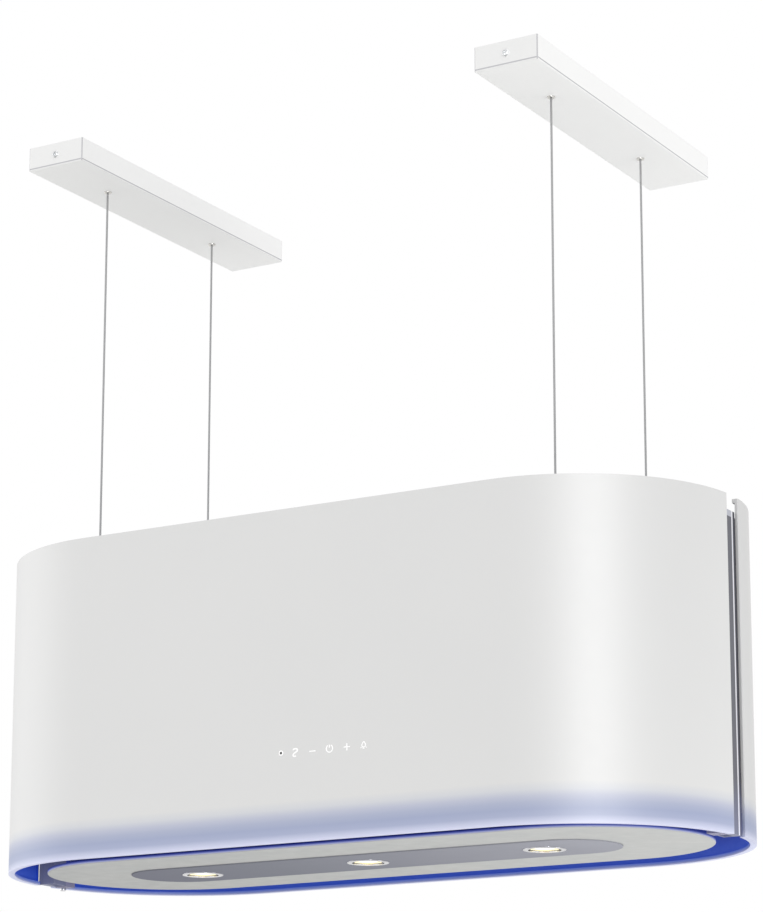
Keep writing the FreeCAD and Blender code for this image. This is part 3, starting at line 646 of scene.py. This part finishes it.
def circuitBoard():
    material, tree, shader = newFinish("boardGreen", fromHex("#14532d"), 0.4)
    point = objectPoint(tree)
    tones = {"Color1": "#14532d", "Color2": "#1b6337", "Mortar": "#7c8f3a"}
    bricks = addNode(tree, "TexBrick", {"Vector": point, "Scale": 120.0, "Mortar Size": 0.03,
                                        **{name: (*fromHex(code), 1) for name, code in tones.items()}})
    feed(tree, shader, "Base Color", bricks.outputs["Color"])
    roughBetween(tree, shader, noise(tree, point, 200, 3), 0.3, 0.5)
    return material


def carbonBlack():
    material, tree, shader = newFinish("carbonBlack", (0.012, 0.012, 0.013), 0.7)
    point = objectPoint(tree)
    grains = cells(tree, point, 380.0)["Distance"]
    feed(tree, shader, "Base Color", mixed(tree, spread(tree, grains, 0.1, 0.7),
                                           (0.05, 0.05, 0.053), (0.006, 0.006, 0.007)))
    roughBetween(tree, shader, noise(tree, point, 500, 3), 0.55, 0.85)
    bump(tree, shader, calc(tree, "SUBTRACT", 1.0, grains), 0.0006, 0.8)
    return material


finishes = {
    "white_shell_paint": shellPaint(),
    "white_powder_coat": powderCoat(),
    "galvanised_steel": spangledZinc("galvanisedSteel", (0.5, 0.51, 0.53), (0.34, 0.35, 0.37), 0.42),
    "zinc_screws": plainMetal("zincScrews", (0.66, 0.67, 0.68), (0.5, 0.51, 0.52), 0.3),
    "steel_cable": brushedMetal("steelCable", (0.42, 0.42, 0.43), (0.3, 0.3, 0.31), 0.6, (1, 1, 0.3),
                                scale=2500.0, metal=0.0),
    "nickel_brass": plainMetal("nickelBrass", (0.7, 0.69, 0.66), (0.6, 0.59, 0.57), 0.24),
    "chrome": plainMetal("chrome", (0.62, 0.62, 0.65), (0.5, 0.5, 0.54), 0.16),
    "grey_anodised": columnGrey(),
    "light_grey_paint": mouldedPlastic("lightGreyPaint", fromHex("#c9cad2"), fromHex("#bfc0c9"), 0.45, 900.0),
    "panel_paint": panelPaint(),
    "panel_backing_aluminium": brushedMetal("panelBackingAluminium", (0.7, 0.71, 0.72), (0.58, 0.59, 0.6),
                                            0.4, (0.03, 1, 1)),
    "strip_grey": stripGrey(),
    "lens_glass": lensGlass(),
    "blue_diffuser": blueDiffuser(),
    "white_icons": whiteIcons(),
    "black_plastic": mouldedPlastic("blackPlastic", (0.018, 0.018, 0.019), (0.026, 0.026, 0.028), 0.5),
    "board_green": circuitBoard(),
    "white_plastic": mouldedPlastic("whitePlastic", fromHex("#e4e4e0"), fromHex("#dad9d4"), 0.42),
    "filter_aluminium": brushedMetal("filterAluminium", (0.72, 0.72, 0.73), (0.55, 0.55, 0.56), 0.36,
                                     (1, 1, 1), scale=300.0),
    "carbon_black": carbonBlack(),
    "fan_plastic": mouldedPlastic("fanPlastic", (0.06, 0.062, 0.066), (0.045, 0.046, 0.05), 0.5, 700.0),
    "motor_steel": brushedMetal("motorSteel", (0.45, 0.45, 0.46), (0.3, 0.3, 0.31), 0.4, (0.02, 1, 1), 500.0),
    "hinge_steel": brushedMetal("hingeSteel", (0.6, 0.6, 0.61), (0.5, 0.5, 0.51), 0.33, (1, 0.05, 1), 600.0),
}
chipFinish = warmChip()
inkFinish = mouldedPlastic("blackInk", (0.01, 0.01, 0.01), (0.016, 0.016, 0.016), 0.4)
floorFinish = mouldedPlastic("paleFloor", fromHex("#f4f4f2"), fromHex("#efefed"), 0.6, 60.0, 0.0002)
studioFloor.data.materials.append(floorFinish)


def paint(piece, finish):
    piece.data.materials.clear()
    piece.data.materials.append(finish)


for part in frame["record"]["subparts"]:
    paint(nodes[part["node"]], finishes[part["material_slot"]])
# grey paint; its lilac cast is painted blue light from the slot
footFinish = mouldedPlastic("blueLitGreyPaint", fromHex("#8f8da8"), fromHex("#84829c"), 0.6, 900.0)
paint(nodes["end_brackets"], footFinish)
for piece in cables:
    paint(piece, finishes["steel_cable"])

# spot optics: gasket, warm outer ring, bright dish and chip
print("spot optics")
optic = {"segments": 48, "gasket": 0.0021, "warmWidth": 0.0032, "warmDepth": 0.0011, "dishWidth": 0.0068,
         "dishDepth": 0.0011, "chipEdge": 0.0006, "chipDepth": -0.0004}
brightFinish = glowing("spotDish", "#f2f1ee", "#fffdf6", "#f6f3ea", 0.75)
warmFinish = glowing("spotWarmRing", "#efe3b8", "#f4e6b0", "#e8d596", 0.7)
gasketFinish = finishes["black_plastic"]


def spotOptic(x):
    low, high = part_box("spot_lenses")
    radius = high.y
    bpy.ops.object.select_all(action="DESELECT")
    bpy.ops.mesh.primitive_cylinder_add(vertices=optic["segments"], radius=radius, depth=high.z - low.z,
                                        location=(x, 0, (low.z + high.z) / 2))
    dish = settle(bpy.context.object, "spotOptic")
    for finish in (gasketFinish, warmFinish, brightFinish, chipFinish):
        dish.data.materials.append(finish)
    pickFaces(dish, lambda centre, normal: normal.z < -0.9)
    steps = (("gasket", 0.0, 1), ("warmWidth", -optic["warmDepth"], 2), ("dishWidth", -optic["dishDepth"], 3),
             ("chipEdge", -optic["chipDepth"], 3))
    for width, depth, index in steps:
        bpy.ops.mesh.inset(thickness=optic[width], depth=depth)
        bpy.context.object.active_material_index = index
        bpy.ops.object.material_slot_assign()
    bpy.ops.object.mode_set(mode="OBJECT")
    return dish


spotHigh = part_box("spot_lenses")[1]
spotOut = spotHigh.x - spotHigh.y                # the outer spots' distance from the middle one
spotOptics = joined([spotOptic(x) for x in (-spotOut, 0.0, spotOut)], "spotOptics")
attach(spotOptics, "filter_panel")
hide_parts("spot_lenses")

# screws of the ceiling covers
print("cover screws")
coverScrew = {"head": 0.002, "headSegments": 40, "headBevel": 0.0008, "crossLength": 0.0036,
              "crossWidth": 0.0009, "crossDepth": 0.0011, "shankSegments": 16, "shankRadius": 0.0016,
              "shankLength": 0.009, "smoothAngle": 35}


def coverScrewAt(x, side):
    low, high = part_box("cover_screws")
    radius, head, z = (high.z - low.z) / 2, coverScrew["head"], (low.z + high.z) / 2
    face = side * (high.y - head)
    bpy.ops.object.select_all(action="DESELECT")
    bpy.ops.mesh.primitive_cylinder_add(vertices=coverScrew["headSegments"], radius=radius, depth=head,
                                        location=(x, face + side * head / 2, z), rotation=(math.pi / 2, 0, 0))
    screw = settle(bpy.context.object, "coverScrew")
    pickFaces(screw, lambda centre, normal: normal.y * side > 0.9)
    bpy.ops.mesh.bevel(offset=coverScrew["headBevel"], segments=4, affect="EDGES")
    bpy.ops.object.mode_set(mode="OBJECT")
    arms = []
    long, thin = coverScrew["crossLength"], coverScrew["crossWidth"]
    for across, up in ((long, thin), (thin, long)):
        bpy.ops.object.select_all(action="DESELECT")
        bpy.ops.mesh.primitive_cube_add(size=1, location=(x, face + side * head, z))
        arm = bpy.context.object
        arm.scale = (across, 2 * coverScrew["crossDepth"], up)
        arms.append(settle(arm, "crossArm"))
    for arm in arms:
        addModifier(screw, "BOOLEAN", operation="DIFFERENCE", object=arm, solver="EXACT")
        bpy.data.objects.remove(arm)
    bpy.ops.object.select_all(action="DESELECT")
    length = coverScrew["shankLength"]
    bpy.ops.mesh.primitive_cylinder_add(vertices=coverScrew["shankSegments"], depth=length,
                                        radius=coverScrew["shankRadius"], rotation=(math.pi / 2, 0, 0),
                                        location=(x, face - side * length / 2, z))
    shank = settle(bpy.context.object, "coverScrewShank")
    return joined([shank, screw], "coverScrew")


screwLow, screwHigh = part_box("cover_screws")
coverX = screwHigh.x - (screwHigh.z - screwLow.z) / 2
coverScrews = joined([coverScrewAt(x, side) for x in (-coverX, coverX) for side in (-1, 1)], "coverScrews")
selectOnly(coverScrews)
bpy.ops.object.shade_smooth_by_angle(angle=math.radians(coverScrew["smoothAngle"]))
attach(coverScrews, "ceiling_mount")
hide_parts("cover_screws")
paint(coverScrews, finishes["zinc_screws"])

# touch control prints
print("touch controls")
iconLow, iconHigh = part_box("touch_icons")
icons = {"discRadius": 0.0036, "proud": 0.00025, "stroke": 0.00065, "thinStroke": 0.00055,
         "digitStroke": 0.0008, "ringStroke": 0.0008, "windowRadius": 0.0014, "windowBevel": 0.0001,
         "ringRadius": 2.1,          # millimetres, as the strokes' points are
         # places across the row, as shares of the way from the first print to the last
         "digit": 0.1746, "minus": 0.3844, "power": 0.5893, "plus": 0.799}
iconStart, iconEnd = iconLow.x + icons["discRadius"], iconHigh.x - icons["discRadius"]
iconZ = (iconLow.z + iconHigh.z) / 2
iconFace = -hoodRadius


def iconPlace(share):
    return iconStart + share * (iconEnd - iconStart)


def printStroke(x, points, width, closed=False, smooth=False):
    # a raised line of ink through points given in millimetres across and up
    curve = bpy.data.curves.new("printStroke", "CURVE")
    curve.dimensions = "3D"
    curve.bevel_depth = width
    curve.bevel_resolution = 2
    curve.resolution_u = 8
    curve.use_fill_caps = True
    spline = curve.splines.new("NURBS" if smooth else "POLY")
    spline.points.add(len(points) - 1)
    for point, (across, up) in zip(spline.points, points):
        point.co = (across / 1000, 0, up / 1000, 1)
    spline.use_cyclic_u = closed
    if smooth:
        spline.order_u = 3
        spline.use_endpoint_u = not closed
    stroke = bpy.data.objects.new("printStroke", curve)
    bpy.context.scene.collection.objects.link(stroke)
    selectOnly(stroke)
    bpy.ops.object.convert(target="MESH")
    stroke = bpy.context.object
    stroke.scale = (1, icons["proud"] / width, 1)
    stroke.location = (x, iconFace, iconZ)
    return settle(stroke, "printStroke")


def arcPoints(radius, start, end, count):
    turns = [math.radians(start + (end - start) * i / (count - 1)) for i in range(count)]
    return [(radius * math.cos(turn), radius * math.sin(turn)) for turn in turns]


def printDot(x):
    # white ring with a dark window in it
    ring = printStroke(x, arcPoints(icons["ringRadius"], 0, 345, 24), icons["ringStroke"], closed=True)
    bpy.ops.object.select_all(action="DESELECT")
    bpy.ops.mesh.primitive_cylinder_add(vertices=24, radius=icons["windowRadius"], depth=2 * icons["proud"],
                                        location=(x, iconFace, iconZ), rotation=(math.pi / 2, 0, 0))
    window = settle(bpy.context.object, "timerWindow")
    pickFaces(window, lambda centre, normal: abs(normal.y) > 0.9)
    bpy.ops.mesh.bevel(offset=icons["windowBevel"], segments=2, affect="EDGES")
    bpy.ops.object.mode_set(mode="OBJECT")
    paint(window, inkFinish)
    return ring, window


ringStroke, windowDot = printDot(iconStart)
digitX, minusX, powerX, plusX = (iconPlace(icons[name]) for name in ("digit", "minus", "power", "plus"))
lampX = iconEnd
digitPoints = [(-2.6, 1.8), (-2.3, 3.1), (0.4, 3.3), (2.6, 2.9), (2.6, 0.6), (0.6, -0.6), (-2.0, -1.9),
               (-2.8, -3.2), (-2.4, -4.8), (0.6, -4.8), (1.2, -4.6)]
lampPoints = [(0, 4.2), (1.3, 2.6), (2.6, 0.2), (1.5, -1.7), (0, -2.0), (-1.5, -1.7), (-2.6, 0.2),
              (-1.3, 2.6)]
# place, points in millimetres, half width of the line, closed, smooth
prints = [(digitX, digitPoints, icons["digitStroke"], False, True),
          (minusX, [(-3.9, -1.1), (3.9, -1.1)], icons["stroke"]),
          (powerX, arcPoints(3.9, 118, 422, 28), icons["stroke"]),
          (powerX, [(0, 0.8), (0, 4.0)], icons["stroke"]),
          (plusX, [(-3.8, 0), (3.8, 0)], icons["stroke"]),
          (plusX, [(0, -3.8), (0, 3.8)], icons["stroke"]),
          (lampX, lampPoints, icons["thinStroke"], True, True),
          (lampX, [(-1.0, -3.3), (1.0, -3.3)], icons["thinStroke"]),
          (lampX, [(-2.9, -1.9), (-3.7, -2.7)], icons["thinStroke"]),
          (lampX, [(2.9, -1.9), (3.7, -2.7)], icons["thinStroke"])]
strokes = [ringStroke] + [printStroke(*each) for each in prints]
for stroke in strokes:
    paint(stroke, finishes["white_icons"])
touchPrints = joined([windowDot] + strokes, "touchPrints")
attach(touchPrints, "hood")
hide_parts("touch_icons")

print("done")
